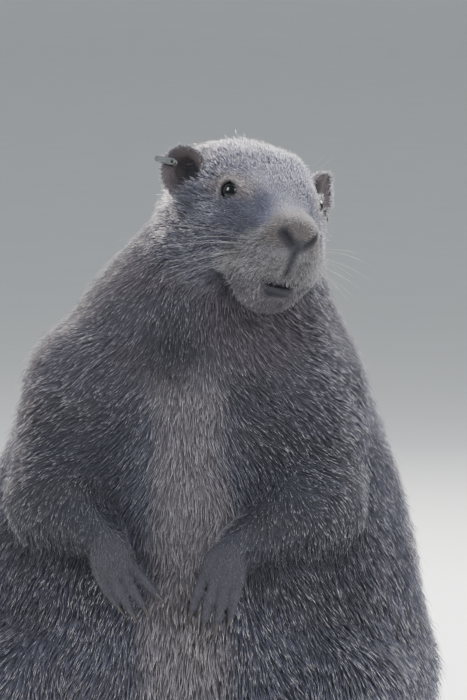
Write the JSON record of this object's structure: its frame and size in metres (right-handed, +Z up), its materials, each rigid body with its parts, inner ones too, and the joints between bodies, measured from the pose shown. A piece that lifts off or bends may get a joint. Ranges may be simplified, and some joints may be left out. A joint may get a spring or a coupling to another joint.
{
  "type": "alpine marmot, still life-size model",
  "caption": "Alpine marmot sitting upright on its haunches, forepaws hanging on the belly, head turned to its left, small metal tag in each ear.",
  "frame": {"origin": "on the floor, under the middle of the whole box, tail included", "axes": "+X to the animal's left, -Y the way its chest faces, +Z up"},
  "size_m": [0.2728, 0.3067, 0.3927],
  "materials": {
    "coat": "dark slate fur with silvery frosted tips, browner on the shoulders",
    "face": "short blue-grey frosted fur, pale beige whisker pads",
    "ear": "short dark brown fur with a pale rim",
    "paw": "short dark brown-grey fur",
    "tail": "long bushy dark fur, nearly black at the tip",
    "claw": "dark horn, satin",
    "eye": "wet glossy near-black",
    "tag": "plain brushed metal, a little worn"
  },
  "bodies": {
    "root": {"head": "face", "neck": "coat", "torso": "coat", "tail": "tail", "upper_arm_right": "coat", "forearm_right": "coat", "forepaw_right": "paw", "haunch_right": "coat", "hindfoot_right": "paw", "ear_right": "ear", "eye_right": "eye", "ear_tag_right": "tag", "forepaw_right_claw_1": "claw", "forepaw_right_claw_2": "claw", "forepaw_right_claw_3": "claw", "forepaw_right_claw_4": "claw", "hindfoot_right_claw_1": "claw", "hindfoot_right_claw_2": "claw", "hindfoot_right_claw_3": "claw", "hindfoot_right_claw_4": "claw", "hindfoot_right_claw_5": "claw", "upper_arm_left": "coat", "forearm_left": "coat", "forepaw_left": "paw", "haunch_left": "coat", "hindfoot_left": "paw", "ear_left": "ear", "eye_left": "eye", "ear_tag_left": "tag", "forepaw_left_claw_1": "claw", "forepaw_left_claw_2": "claw", "forepaw_left_claw_3": "claw", "forepaw_left_claw_4": "claw", "hindfoot_left_claw_1": "claw", "hindfoot_left_claw_2": "claw", "hindfoot_left_claw_3": "claw", "hindfoot_left_claw_4": "claw", "hindfoot_left_claw_5": "claw"}
  },
  "joints": []
}
